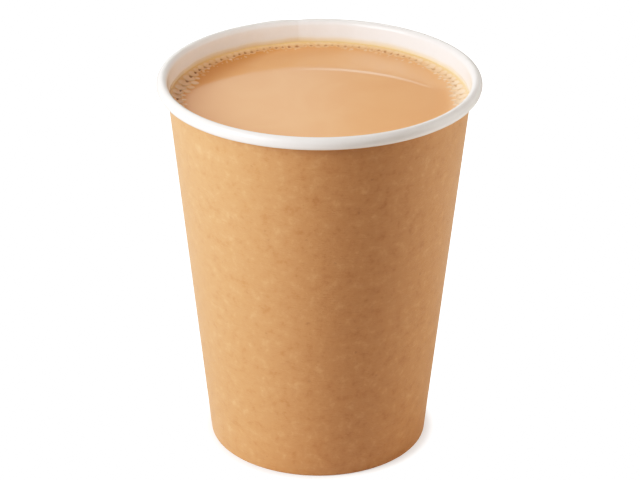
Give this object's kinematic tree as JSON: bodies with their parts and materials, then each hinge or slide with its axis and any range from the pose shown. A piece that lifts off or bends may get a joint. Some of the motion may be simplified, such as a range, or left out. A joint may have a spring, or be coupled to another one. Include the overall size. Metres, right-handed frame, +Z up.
{
  "type": "paper cup of milk tea",
  "caption": "Tapered single-wall kraft paper cup with a white rolled rim, filled nearly to the top with milk tea that has a ring of small bubbles round its edge.",
  "frame": {"origin": "centre of the foot ring, on the plane that the cup stands on", "axes": "+Z up the cup's axis; the side seam is at the back, towards +Y and slightly to -X"},
  "size_m": [0.09, 0.09, 0.11],
  "materials": {
    "kraft_board": "matte natural brown kraft outside, white lined inside and over the rolled rim",
    "lined_board": "white board with a thin waterproof lining",
    "milk_tea": "opaque liquid, glossy"
  },
  "bodies": {
    "root": {"cup_wall": "kraft_board", "cup_base": "lined_board", "milk_tea": "milk_tea"}
  },
  "joints": []
}
